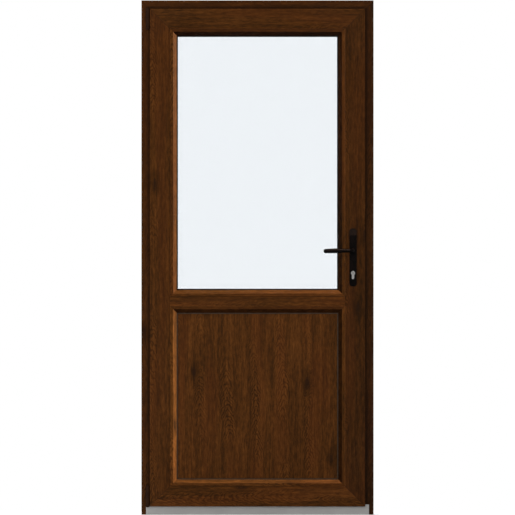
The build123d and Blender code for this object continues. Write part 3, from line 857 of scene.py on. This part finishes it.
def dress(frame: dict, names: list[str], material: Material) -> None:
    """Gives frame nodes one material in place of what they came with.

    Args:
        frame: What the frame load returned.
        names: The nodes' names.
        material: Their new material.
    """
    for name in names:
        mesh = frame["nodes"][name].data
        mesh.materials.clear()
        mesh.materials.append(material)
        log.info("dressed %s with %s", name, material.name)


def add(piece: bpy.types.Object, body: str, material: Material) -> None:
    """Finishes a new piece.

    Args:
        piece: The piece.
        body: The body that it rides on.
        material: Its material.
    """
    piece.data.materials.append(material)
    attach(piece, body)
    log.info("added %s on %s", piece.name, body)


@dataclass
class Foil:
    """Every bar that is wrapped in wood foil, with the way its grain runs and its painted light and shade.

    A bar without painted light and shade keeps the foil's usual colours. The seams' ends are distances from
    the outer edges. Indoors a seam crosses the whole face. Outdoors the leaf's run from its lip to its
    glazing slope, and the frame's run to the edge of its lip.
    """

    frame: dict
    finish: WoodFoil = field(default_factory=WoodFoil)
    upright: tuple[str, ...] = (
        "hinge_jamb", "lock_jamb", "leaf_hinge_stile", "leaf_lock_stile", "lower_panel",
        "glass_bead_left", "glass_bead_right", "panel_bead_left", "panel_bead_right")
    level: tuple[str, ...] = (
        "frame_head", "leaf_top_rail", "leaf_bottom_rail", "leaf_mid_rail",
        "glass_bead_top", "glass_bead_bottom", "panel_bead_top", "panel_bead_bottom")
    # Painted light and shade: each bar's foil is made lighter or darker for how light falls on it.
    painted_shading: dict[str, float] = field(default_factory=lambda: {
        "hinge_jamb": 0.62, "lock_jamb": 0.44, "frame_head": 0.72, "leaf_hinge_stile": 0.86,
        "leaf_lock_stile": 0.66, "leaf_top_rail": 0.85, "leaf_bottom_rail": 1.1,
        "glass_bead_left": 0.94, "glass_bead_right": 0.9, "glass_bead_top": 0.55, "glass_bead_bottom": 0.92,
        "panel_bead_left": 1.34, "panel_bead_top": 0.75})
    seam_half_width: float = 0.8 * MM
    seam_height: float = 0.12 * MM
    seam_inset: float = 1.0 * MM
    leaf_face: float = 84.0 * MM
    leaf_lip: float = 20.0 * MM
    leaf_slope: float = 97.5 * MM
    frame_face: float = 43.0 * MM
    frame_lip: float = 65.0 * MM

    def dress(self) -> None:
        """Gives each bar its own cut of the foil with its painted light and shade, paints shade on the frame
        bars beside the leaf, and adds the welded seams.
        """
        # Painted shade on the frame bars next to the leaf's edges.
        beside = JointShade(axis=0, edge=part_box("leaf_lock_stile")[1].x)
        above = JointShade(axis=2, edge=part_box("leaf_top_rail")[1].z)
        joints = {"hinge_jamb": beside, "lock_jamb": beside, "frame_head": above}
        bars = [(name, Grain.UPRIGHT) for name in self.upright]
        bars += [(name, Grain.LEVEL) for name in self.level]
        for number, (name, grain) in enumerate(bars, start=1):
            # The bar's painted light and shade.
            painted_shading_share = self.painted_shading.get(name, 1.0)
            material = self.finish.make(f"foil_{name}", grain, number, painted_shading_share, joints.get(name))
            dress(self.frame, [name], material)
        self.add_seams()

    def add_seams(self) -> None:
        """Adds the welded seams on both sides of the leaf's four corners and the frame's upper two."""
        coating = SatinCoating(srgb(50, 29, 13), srgb(60, 35, 17), roughness=0.5, gloss=0.05)
        paint = coating.make("seam_paint")
        low, high = corners("leaf_hinge_stile")[0], corners("leaf_lock_stile")[1]
        leaf = [grid for z in (low[2], high[2]) for x in (low[0], high[0]) for grid in (
            self.seam(x, z, low[1], Side.INSIDE, 0.0, self.leaf_face),
            self.seam(x, z, high[1], Side.OUTSIDE, self.leaf_lip, self.leaf_slope))]
        add(closed_mesh("leaf_seams", *leaf), "leaf", paint)
        low, high = corners("hinge_jamb")[0], corners("lock_jamb")[1]
        frame = [grid for x in (low[0], high[0]) for grid in (
            self.seam(x, high[2], low[1], Side.INSIDE, 0.0, self.frame_face),
            self.seam(x, high[2], high[1], Side.OUTSIDE, 0.0, self.frame_lip))]
        add(closed_mesh("frame_seams", *frame), "frame", paint)

    def seam(self, x: float, z: float, y: float, side: Side, start: float, finish: float) -> Array:
        """The welded seam of one corner, along its mitre.

        Args:
            x: Where the corner is across the door.
            z: How high the corner is.
            y: The depth of the face.
            side: The side that the face looks to.
            start: Where the seam starts, as a distance from both outer edges.
            finish: Where it ends.

        Returns:
            The ridge's grid of points.
        """
        half_height = middle_of("hinge_jamb")[2]
        inward = np.array([-np.sign(x), 0.0, np.sign(half_height - z)])
        corner = np.array([x, y, z])
        outer = corner + inward * (start + self.seam_inset)
        inner = corner + inward * (finish - self.seam_inset)
        outward = np.array([0.0, side.value, 0.0])
        return ridge(outer, inner, outward, self.seam_half_width, self.seam_height)


@dataclass
class Glazing:
    """Panes, spacer and gaskets."""

    frame: dict

    def dress(self) -> None:
        """Dresses the glass, the spacer and the gaskets."""
        glass = ClearGlass().make("clear_glass")
        dress(self.frame, ["glass_pane_inside", "glass_pane_outside"], glass)
        spacer = DrawnMetal(srgb(150, 150, 148), srgb(120, 120, 118), (8.0, 700.0, 8.0), roughness=0.45)
        dress(self.frame, ["glass_spacer"], spacer.make("spacer_metal"))
        black = SealRubber(srgb(16, 14, 12), srgb(26, 24, 22)).make("black_gasket")
        dress(self.frame, ["glass_gasket_inside", "glass_gasket_outside", "leaf_seal", "frame_seal"], black)
        grey = SealRubber(srgb(60, 48, 38), srgb(72, 60, 50)).make("grey_gasket")
        dress(self.frame, ["panel_gasket_inside", "panel_gasket_outside"], grey)


@dataclass
class Threshold:
    """Aluminium threshold with its thermal break and screws, and the drip rail with its end caps."""

    frame: dict
    screw_inset: float = 110.0 * MM
    screw_count: int = 4
    cap_thickness: float = 2.0 * MM
    cap_lip: float = 8.0 * MM

    def dress(self) -> None:
        """Dresses the threshold's pieces and the drip rail, and adds the screws and the end caps."""
        drawn = DrawnMetal(srgb(169, 168, 166), srgb(159, 158, 156), (5.0, 900.0, 900.0), roughness=0.42)
        dress(self.frame, ["threshold_inner", "threshold_outer"], drawn.make("threshold_metal"))
        plastic = SealRubber(srgb(34, 33, 32), srgb(48, 46, 44)).make("thermal_break_plastic")
        dress(self.frame, ["threshold_thermal_break"], plastic)
        brown = SatinCoating(srgb(50, 32, 22), srgb(58, 39, 28), roughness=0.42).make("drip_rail_paint")
        dress(self.frame, ["drip_rail"], brown)
        self.add_screws()
        cap_plastic = SealRubber(srgb(40, 26, 18), srgb(50, 34, 24)).make("drip_cap_plastic")
        caps = closed_mesh("drip_rail_caps", *self.end_caps(), smooth=False)
        add(caps, "leaf", cap_plastic)

    def add_screws(self) -> None:
        """Adds a row of screw heads along the top of the threshold's indoor half."""
        low, high = corners("threshold_inner")
        places = np.linspace(low[0] + self.screw_inset, high[0] - self.screw_inset, self.screw_count)
        depth, up = (low[1] + high[1]) / 2, np.array([0.0, 0.0, 1.0])
        heads = [screw_head(np.array([x, depth, high[2]]), up) for x in places]
        steel = DrawnMetal(srgb(150, 148, 144), srgb(122, 120, 116), (700.0, 700.0, 700.0), roughness=0.3)
        screws = closed_mesh("threshold_screws", *heads)
        add(screws, "frame", steel.make("threshold_screw_steel"))

    def end_caps(self) -> list[Array]:
        """Flat caps on the drip rail's ends: its outline, from the leaf to the lip, pushed out along X.

        Returns:
            A grid of points for each cap, two rows of the outline.
        """
        low, high = corners("drip_rail")
        outline = np.array([[low[1], low[2]], [high[1], low[2]], [high[1], low[2] + self.cap_lip],
                            [low[1] + self.cap_thickness, high[2]], [low[1], high[2]]])
        caps = []
        for start in (low[0] - self.cap_thickness, high[0]):
            ends = np.array([start, start + self.cap_thickness])
            across = np.broadcast_to(ends[:, None, None], (2, len(outline), 1))
            caps.append(np.concatenate([across, np.broadcast_to(outline, (2, *outline.shape))], -1))
        return caps


@dataclass
class Hinges:
    """Two hinges with a domed cap on each end of the barrel."""

    frame: dict
    radius: float = 7.5 * MM
    cap_height: float = 2.2 * MM
    cap_rim: float = 1.2 * MM
    cap_groove: float = 0.5 * MM
    cap_rings: int = 9
    dome_share: float = 0.98

    def dress(self) -> None:
        """Dresses the hinge halves and adds the caps."""
        coating = SatinCoating(srgb(40, 23, 13), srgb(48, 30, 18), roughness=0.36, gloss=0.03)
        paint = coating.make("hinge_paint")
        halves = [name for name in self.frame["nodes"] if name.endswith("_half")]
        dress(self.frame, halves, paint)
        for place in ("top", "bottom"):
            for body, out in (("frame", -1.0), ("leaf", 1.0)):
                cap = closed_mesh(f"hinge_{place}_{body}_cap", self.cap(f"hinge_{place}_{body}_half", out))
                add(cap, body, paint)

    def cap(self, node: str, out: float) -> Array:
        """A domed cap on the end of a barrel: radius * cos t across and height * sin t along the axis.

        The dome stops just short of its pole, where the mesh's end closes it.

        Args:
            node: The hinge half that carries it.
            out: 1 for the barrel's upper end and -1 for its lower end.

        Returns:
            The grid of points, rings by spokes by three.
        """
        low, high = corners(node)
        barrel_low, barrel_high = corners(node.replace("leaf", "frame"))
        centre = np.array([(barrel_low[0] + barrel_high[0]) / 2, barrel_low[1] + self.radius,
                           high[2] if out > 0 else low[2]])
        turn = np.linspace(0, self.dome_share * np.pi / 2, self.cap_rings)
        dome = np.stack([self.radius * np.cos(turn), self.cap_rim + self.cap_height * np.sin(turn)], -1)
        waist, rim = self.radius - self.cap_groove, self.cap_rim / 2
        neck = np.array([[waist, 0.0], [waist, rim], [self.radius, rim]])
        return turned(np.vstack([neck, dome]), centre, np.array([0.0, 0.0, out]))


@dataclass
class Lock:
    """Lock strip, bolts, keeps and cylinder, with the screws that hold them."""

    frame: dict
    keeps: tuple[str, ...] = ("keep_upper", "keep_middle", "keep_lower")
    strip_screws: int = 8
    strip_inset: float = 30.0 * MM
    keep_inset: float = 14.0 * MM
    screw_radius: float = 3.6 * MM

    def dress(self) -> None:
        """Dresses the steel of the lock and the nickel of its cylinder, and adds the screws."""
        steel = DrawnMetal(srgb(178, 176, 170), srgb(150, 148, 142), (900.0, 900.0, 6.0), roughness=0.35)
        names = [*self.keeps, "lock_faceplate", "latch_bolt", "dead_bolt", "handle_spindle"]
        dress(self.frame, names, steel.make("lock_steel"))
        self.add_screws()
        nickel = DrawnMetal(srgb(151, 150, 148), srgb(131, 130, 128), (700.0, 8.0, 700.0), roughness=0.4)
        dress(self.frame, ["lock_cylinder", "cylinder_plug_inside", "cylinder_plug_outside"],
              nickel.make("cylinder_nickel"))

    def add_screws(self) -> None:
        """Adds screw heads along the lock strip and at both ends of each keep."""
        metal = DrawnMetal(srgb(132, 128, 118), srgb(104, 100, 92), (700.0, 700.0, 700.0), roughness=0.3)
        steel = metal.make("lock_screw_steel")
        low, high = corners("lock_faceplate")
        face = np.array([high[0], (low[1] + high[1]) / 2, 0.0])
        heights = np.linspace(low[2] + self.strip_inset, high[2] - self.strip_inset, self.strip_screws)
        outward = np.array([1.0, 0.0, 0.0])
        heads = [screw_head(face + [0.0, 0.0, z], outward, self.screw_radius) for z in heights]
        add(closed_mesh("lock_strip_screws", *heads), "leaf", steel)
        heads = []
        for keep in self.keeps:
            low, high = corners(keep)
            face = np.array([low[0], (low[1] + high[1]) / 2, 0.0])
            heads += [screw_head(face + [0.0, 0.0, z], -outward, self.screw_radius)
                      for z in (low[2] + self.keep_inset, high[2] - self.keep_inset)]
        add(closed_mesh("keep_screws", *heads), "frame", steel)


@dataclass
class Handle:
    """Plates and levers on both sides of the leaf.

    The stand-off is how far the grip's middle lies from the plate's face, and the bend is the radius of the
    turn from neck to grip. The rows and spokes say how finely each stretch of the surface is divided.
    """

    frame: dict
    neck_height: float = 15.5 * MM
    grip_height: float = 18.5 * MM
    grip_thickness: float = 11.0 * MM
    belly: float = 3.2 * MM
    length: float = 122.0 * MM
    stand_off: float = 46.0 * MM
    bend: float = 18.0 * MM
    rise: float = 1.8 * MM
    collar_radius: float = 11.0 * MM
    collar_height: float = 5.0 * MM
    collar_edge: float = 1.8 * MM
    collar_rings: int = 7
    neck_rows: int = 8
    bend_rows: int = 24
    grip_rows: int = 25
    tip_rows: int = 12
    spokes: int = 48
    roundness: float = 0.9

    def dress(self) -> None:
        """Dresses the plates and builds both levers."""
        coating = SatinCoating(srgb(1, 1, 1), srgb(3, 2, 2), roughness=0.27, gloss=0.03)
        paint = coating.make("handle_paint")
        dress(self.frame, ["handle_plate_inside", "handle_plate_outside"], paint)
        for side in Side:
            self.build_lever(side, paint)

    def lever_line(self, root: Array, out: float) -> tuple[Array, Array, Array, Array]:
        """The lever's middle line and its size along the way.

        It runs straight out of the hub, then round a quarter circle towards the hinges, rising a little,
        then on with a slight fall to the tip. The grip's height swells in its middle by
        belly * sin(pi * share) ** 2, and the tip's follows a circle: height = full * cos(angle).

        Args:
            root: Where the line leaves the plate.
            out: The sign of the outward direction along Y.

        Returns:
            Middle points, unit directions, heights and thicknesses, one row each.
        """
        neck_share = np.linspace(0, 1, self.neck_rows, endpoint=False)
        straight = self.stand_off - self.bend
        neck = root + np.stack([0 * neck_share, out * straight * neck_share, 0 * neck_share], -1)
        turn = np.linspace(0, np.pi / 2, self.bend_rows)
        turn_share = turn / (np.pi / 2)
        ease = turn_share * turn_share * (3 - 2 * turn_share)
        arc = root + np.stack([self.bend * (np.cos(turn) - 1), out * (straight + self.bend * np.sin(turn)),
                               self.rise * ease], -1)
        tip_radius = self.grip_height / 2
        grip_share = np.linspace(0, 1, self.grip_rows + 1)[1:]
        grip_length = self.length - self.bend - tip_radius
        fall = self.rise * (1 - grip_share * grip_share)
        grip = np.stack([root[0] - self.bend - grip_length * grip_share,
                         np.full_like(grip_share, root[1] + out * self.stand_off), root[2] + fall], -1)
        tip_turn = np.linspace(0, np.pi / 2, self.tip_rows + 2)[1:-1]
        tip = grip[-1] + np.stack([-tip_radius * np.sin(tip_turn), 0 * tip_turn, 0 * tip_turn], -1)
        height = np.concatenate([
            np.full(self.neck_rows + self.bend_rows, self.neck_height),
            self.neck_height + (self.grip_height - self.neck_height) * grip_share
            + self.belly * np.sin(np.pi * grip_share) ** 2,
            self.grip_height * np.cos(tip_turn)])
        thickness = np.concatenate([
            np.full(self.neck_rows, self.neck_height),
            self.neck_height + (self.grip_thickness - self.neck_height) * ease,
            np.full(self.grip_rows, self.grip_thickness), self.grip_thickness * np.cos(tip_turn)])
        ahead = np.concatenate([
            np.tile([0.0, out, 0.0], (self.neck_rows, 1)),
            np.stack([-np.sin(turn), out * np.cos(turn), 0 * turn], -1),
            np.tile([-1.0, 0.0, 0.0], (self.grip_rows + self.tip_rows, 1))])
        return np.concatenate([neck, arc, grip, tip]), ahead, height, thickness

    def build_lever(self, side: Side, paint: Material) -> None:
        """Builds one lever in place of its frame node, with the collar at its root.

        Each section is an oval: up * height / 2 * cos t + across * thickness / 2 * sin t, with both terms
        raised to a power a little under one, which flattens the faces.

        Args:
            side: The side of the leaf.
            paint: The handle's finish.
        """
        node = f"lever_{side.name.lower()}"
        low, high = corners(node)
        out = float(side.value)
        face = high[1] if side is Side.INSIDE else low[1]
        spindle = middle_of("handle_spindle")
        root = np.array([spindle[0], face, spindle[2]])
        points, ahead, height, thickness = self.lever_line(root, out)
        up = np.array([0.0, 0.0, 1.0])
        beside = np.cross(ahead, up)
        turn = np.linspace(0, 2 * np.pi, self.spokes, endpoint=False)
        cosine = np.sign(np.cos(turn)) * np.abs(np.cos(turn)) ** self.roundness
        sine = np.sign(np.sin(turn)) * np.abs(np.sin(turn)) ** self.roundness
        grid = (points[:, None] + up * (height / 2)[:, None, None] * cosine[None, :, None]
                - beside[:, None] * (thickness / 2)[:, None, None] * sine[None, :, None])
        lever = closed_mesh(f"{node}_grip", grid)
        add(lever, "handle", paint)
        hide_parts(node)
        add(closed_mesh(f"{node}_collar", self.collar(root, out)), "handle", paint)

    def collar(self, root: Array, out: float) -> Array:
        """The collar's surface: a straight wall, then a quarter-round shoulder, turned round the spindle.

        Args:
            root: Where the lever leaves the plate.
            out: The sign of the outward direction along Y.

        Returns:
            The grid of points, rings by spokes by three.
        """
        edge = self.collar_edge
        quarter = np.linspace(0, np.pi / 2, self.collar_rings)
        shoulder = np.stack([self.collar_radius - edge + edge * np.cos(quarter),
                             self.collar_height - edge + edge * np.sin(quarter)], -1)
        profile = np.vstack([[self.collar_radius, 0.0], shoulder])
        return turned(profile, root, np.array([0.0, out, 0.0]), self.spokes)


@dataclass
class Studio:
    """Pale floor, soft light, white surroundings and the camera.

    Sizes and places are in metres, angles in degrees and powers in watts. A lamp's place is counted from the
    middle of the door, or from the spindle for the two sheens.
    """

    door_height: float
    lens: float = 500.0
    sensor: float = 36.0
    view_height: float = 2.1513
    view_middle: float = 1.0752
    view_depth: float = 200.0
    floor_front: float = -1.8
    floor_back: float = 0.45
    floor_half: float = 1.7
    floor_cells: int = 8
    floor_glow: float = 0.5
    floor_tones: tuple[Colour, Colour] = ((0.86, 0.86, 0.86), (0.9, 0.9, 0.9))
    mottle_per_metre: float = 6.0
    world_light: float = 0.1
    world_white: float = 1.0
    key_rise: float = 35.0
    key_lift: float = 12.0
    key_distance: float = 7.0
    key_size: float = 1.8
    key_power: float = 1760.0
    soft_place: Point = (-0.5, -2.8, 0.1)
    soft_size: float = 6.0
    soft_power: float = 162.0
    outdoor_place: Point = (-2.6, 3.6, 1.8)
    outdoor_size: float = 3.0
    outdoor_power: float = 300.0
    lever_sheen_place: Point = (0.3, -2.3, 1.6)
    lever_sheen_power: float = 140.0
    plate_sheen_place: Point = (0.0, -3.88, 0.97)
    plate_sheen_power: float = 12.0
    sheen_size: float = 1.0
    sheen_colour: Colour = (1.0, 0.58, 0.4)

    def build(self) -> None:
        """Builds the floor, the world, the lamps and the camera."""
        self.build_floor()
        self.build_world()
        middle = np.array([0.0, 0.0, self.door_height / 2])
        key_place = middle + self.key_distance * self.aim(self.key_rise, self.key_lift)
        key = self.lamp("bead_key", key_place, middle, self.key_size, self.key_power)
        key.data.use_shadow = False
        soft = self.lamp("soft_front", middle + self.soft_place, middle, self.soft_size, self.soft_power)
        outdoor = self.lamp("soft_outdoors", middle + self.outdoor_place, middle, self.outdoor_size,
                            self.outdoor_power)
        for holder in (soft, outdoor):
            holder.visible_glossy = False
        hub = middle_of("handle_spindle")
        sheens = [self.lamp(name, hub + place, hub, self.sheen_size, power) for name, place, power in (
            ("lever_sheen", self.lever_sheen_place, self.lever_sheen_power),
            ("plate_sheen", self.plate_sheen_place, self.plate_sheen_power))]
        for sheen in sheens:
            sheen.data.color = self.sheen_colour
        self.share(key, soft, sheens)
        self.build_camera()

    @staticmethod
    def aim(rise: float, lift: float) -> Array:
        """A direction from the door to a lamp.

        Args:
            rise: Degrees up from +X in the door's plane.
            lift: Degrees in front of that plane.

        Returns:
            The direction as a unit vector.
        """
        rise, lift = math.radians(rise), math.radians(lift)
        return np.array([math.cos(lift) * math.cos(rise), -math.sin(lift), math.cos(lift) * math.sin(rise)])

    def build_floor(self) -> None:
        """A pale floor: a grid of points on z = 0 with a matt, faintly mottled finish."""
        count = self.floor_cells + 1
        across = np.linspace(-self.floor_half, self.floor_half, count)
        depth = np.linspace(self.floor_front, self.floor_back, count)
        grid_x, grid_y = np.meshgrid(across, depth, indexing="ij")
        points = np.stack([grid_x, grid_y, np.zeros_like(grid_x)], -1).reshape(-1, 3)
        index = np.arange(count * count).reshape(count, count)
        quads = np.stack([index[:-1, :-1], index[1:, :-1], index[1:, 1:], index[:-1, 1:]], -1).reshape(-1, 4)
        mesh = bpy.data.meshes.new("studio_floor")
        mesh.from_pydata(points.tolist(), [], quads.tolist())
        floor = bpy.data.objects.new("studio_floor", mesh)
        bpy.context.scene.collection.objects.link(floor)
        shader = Shader("studio_floor")
        mottle = shader.clouds(self.mottle_per_metre, detail=2.0)
        camera_ray = shader.node("ShaderNodeLightPath").outputs["Is Camera Ray"]
        shader.set(Base_Color=shader.blend(mottle, *self.floor_tones), Roughness=0.8,
                   Emission_Color=WHITE,
                   Emission_Strength=shader.math("MULTIPLY", camera_ray, self.floor_glow))
        mesh.materials.append(shader.material)
        floor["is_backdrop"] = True

    def build_world(self) -> None:
        """White to the camera, in reflections and through glass, and a low soft light elsewhere."""
        world = bpy.data.worlds.new("studio_world")
        world.use_nodes = True
        tree = world.node_tree
        tree.nodes.clear()
        path = tree.nodes.new("ShaderNodeLightPath")
        seen = path.outputs["Is Camera Ray"]
        for ray in ("Is Glossy Ray", "Is Transmission Ray"):
            either = tree.nodes.new("ShaderNodeMath")
            either.operation = "MAXIMUM"
            tree.links.new(seen, either.inputs[0])
            tree.links.new(path.outputs[ray], either.inputs[1])
            seen = either.outputs[0]
        mix = tree.nodes.new("ShaderNodeMixShader")
        tree.links.new(seen, mix.inputs[0])
        for socket, strength in ((mix.inputs[1], self.world_light), (mix.inputs[2], self.world_white)):
            background = tree.nodes.new("ShaderNodeBackground")
            background.inputs["Color"].default_value = WHITE
            background.inputs["Strength"].default_value = strength
            tree.links.new(background.outputs[0], socket)
        output = tree.nodes.new("ShaderNodeOutputWorld")
        tree.links.new(mix.outputs[0], output.inputs["Surface"])
        bpy.context.scene.world = world

    @staticmethod
    def share(key: bpy.types.Object, soft: bpy.types.Object, sheens: list[bpy.types.Object]) -> None:
        """Keeps the grazing lamp on the beads, the soft lamp off them and the sheens on the handles.

        Args:
            key: The grazing lamp.
            soft: The soft lamp.
            sheens: The small warm lamps.
        """
        beads = bpy.data.collections.new("beads")
        others = bpy.data.collections.new("beside_beads")
        handles = bpy.data.collections.new("handles")
        for piece in list(bpy.context.scene.objects):
            if piece.type == "MESH":
                (beads if "_bead_" in piece.name else others).objects.link(piece)
                if piece.name.startswith(("handle_plate", "lever_")):
                    handles.objects.link(piece)
        key.light_linking.receiver_collection = beads
        soft.light_linking.receiver_collection = others
        for sheen in sheens:
            sheen.light_linking.receiver_collection = handles

    @staticmethod
    def lamp(name: str, place: Array, target: Array, size: float, power: float) -> bpy.types.Object:
        """Adds a square soft lamp that faces a point.

        Args:
            name: The lamp's name.
            place: Where it hangs.
            target: The point it faces.
            size: Its side.
            power: Its power in watts.

        Returns:
            The lamp's object.
        """
        light = bpy.data.lights.new(name, "AREA")
        light.size = size
        light.energy = power
        holder = bpy.data.objects.new(name, light)
        holder.location = place
        direction = Vector(target - place)
        holder.rotation_euler = direction.to_track_quat("-Z", "Y").to_euler()
        holder.visible_camera = False
        bpy.context.scene.collection.objects.link(holder)
        return holder

    def build_camera(self) -> None:
        """A long lens, level and square to the door, far enough back to frame its full height."""
        data = bpy.data.cameras.new("camera")
        data.lens = self.lens
        data.sensor_width = self.sensor
        data.clip_end = self.view_depth
        distance = self.view_height * self.lens / self.sensor
        camera = bpy.data.objects.new("camera", data)
        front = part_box("leaf_lock_stile")[0].y
        camera.location = (0.0, front - distance, self.view_middle)
        camera.rotation_euler = (math.pi / 2, 0.0, 0.0)
        bpy.context.scene.collection.objects.link(camera)
        bpy.context.scene.camera = camera


def as_lists(bounds: Any) -> list[list[float]]:
    """A box's two corners as plain lists of numbers."""
    return [[float(value) for value in corner] for corner in bounds]


def main() -> None:
    """Builds the pieces in order."""
    logging.basicConfig(level=logging.INFO, format="%(name)s: %(message)s")
    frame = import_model()
    solid_box = as_lists(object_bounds())
    bpy.context.scene.view_settings.view_transform = "Standard"
    for assembly in (Foil, Glazing, Threshold, Hinges, Lock, Handle):
        assembly(frame).dress()
    Studio(door_height=solid_box[1][2]).build()


if __name__ == "__main__":
    main()
